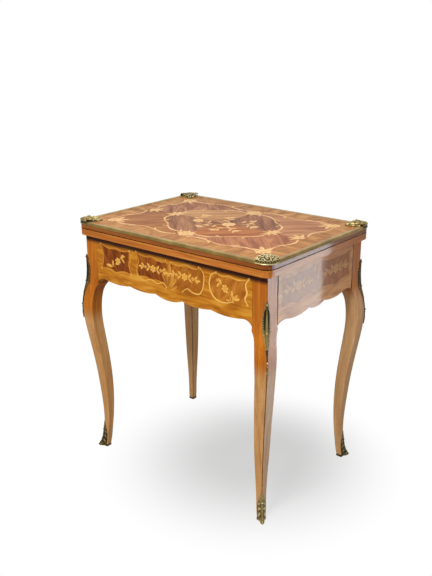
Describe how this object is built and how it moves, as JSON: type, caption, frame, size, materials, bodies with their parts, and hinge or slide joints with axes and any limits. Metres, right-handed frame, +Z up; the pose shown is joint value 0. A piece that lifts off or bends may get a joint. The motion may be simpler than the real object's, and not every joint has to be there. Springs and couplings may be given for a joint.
{
  "type": "games table",
  "caption": "Cabriole-legged games table: a floral marquetry top that turns on an off-centre pivot over a lined well and unfolds on flap hinges, with cast brass mounts.",
  "frame": {"origin": "on the floor under the middle of the frame", "axes": "+Z up, +X along the long side to the right, front towards -Y, hinge line of the closed top at +Y"},
  "size_m": [0.6994, 0.5014, 0.7599],
  "materials": {
    "leg_wood": "polished warm brown, straight grain",
    "apron_veneer": "polished honey veneer with floral marquetry",
    "top_veneer": "polished red-brown veneer with floral marquetry",
    "carcase_wood": "plain unpolished inner timber",
    "baize": "matt green baize",
    "cast_brass": "aged cast brass, dark in the hollows",
    "hinge_brass": "plain satin brass",
    "steel": "dull steel"
  },
  "bodies": {
    "frame": {"leg_front_left": "leg_wood", "leg_front_right": "leg_wood", "leg_back_left": "leg_wood", "leg_back_right": "leg_wood", "apron_front": "apron_veneer", "apron_back": "apron_veneer", "apron_left": "apron_veneer", "apron_right": "apron_veneer", "deck": "carcase_wood", "well_divider": "carcase_wood", "well_floor": "carcase_wood", "floor_bearer_front": "carcase_wood", "floor_bearer_back": "carcase_wood", "deck_cleat_front": "carcase_wood", "deck_cleat_back": "carcase_wood", "deck_cleat_right": "carcase_wood", "well_baize": "baize", "knee_mount_front_left": "cast_brass", "knee_mount_front_right": "cast_brass", "knee_mount_back_left": "cast_brass", "knee_mount_back_right": "cast_brass", "shoe_front_left": "cast_brass", "shoe_front_right": "cast_brass", "shoe_back_left": "cast_brass", "shoe_back_right": "cast_brass", "knee_pins": "cast_brass", "shoe_pins": "cast_brass", "pivot_bush": "hinge_brass", "stop_pin": "hinge_brass", "deck_screws": "steel"},
    "lower_leaf": {"lower_leaf": "top_veneer", "lower_baize": "baize", "pivot_bolt": "steel", "pivot_screws": "steel", "pivot_spacer": "steel", "pivot_washer": "steel", "pivot_nut": "steel", "hinge_flap_lower_left": "hinge_brass", "hinge_flap_lower_right": "hinge_brass", "hinge_pins": "hinge_brass", "hinge_screws_lower": "hinge_brass"},
    "upper_leaf": {"upper_leaf": "top_veneer", "upper_baize": "baize", "edge_band_front": "cast_brass", "edge_band_back": "cast_brass", "edge_band_left": "cast_brass", "edge_band_right": "cast_brass", "corner_mount_front_left": "cast_brass", "corner_mount_front_right": "cast_brass", "corner_mount_back_left": "cast_brass", "corner_mount_back_right": "cast_brass", "mount_pins_top": "cast_brass", "hinge_flap_upper_left": "hinge_brass", "hinge_flap_upper_right": "hinge_brass", "hinge_screws_upper": "hinge_brass"}
  },
  "joints": [
    {"name": "top_turn", "type": "hinge", "parent": "frame", "child": "lower_leaf", "pos_m": [0.123, 0.123, 0.71], "axis": [0, 0, 1], "range_deg": [0, 90]},
    {"name": "leaf_fold", "type": "hinge", "parent": "lower_leaf", "child": "upper_leaf", "pos_m": [0, 0.2462, 0.7306], "axis": [-1, 0, 0], "range_deg": [0, 180]}
  ]
}
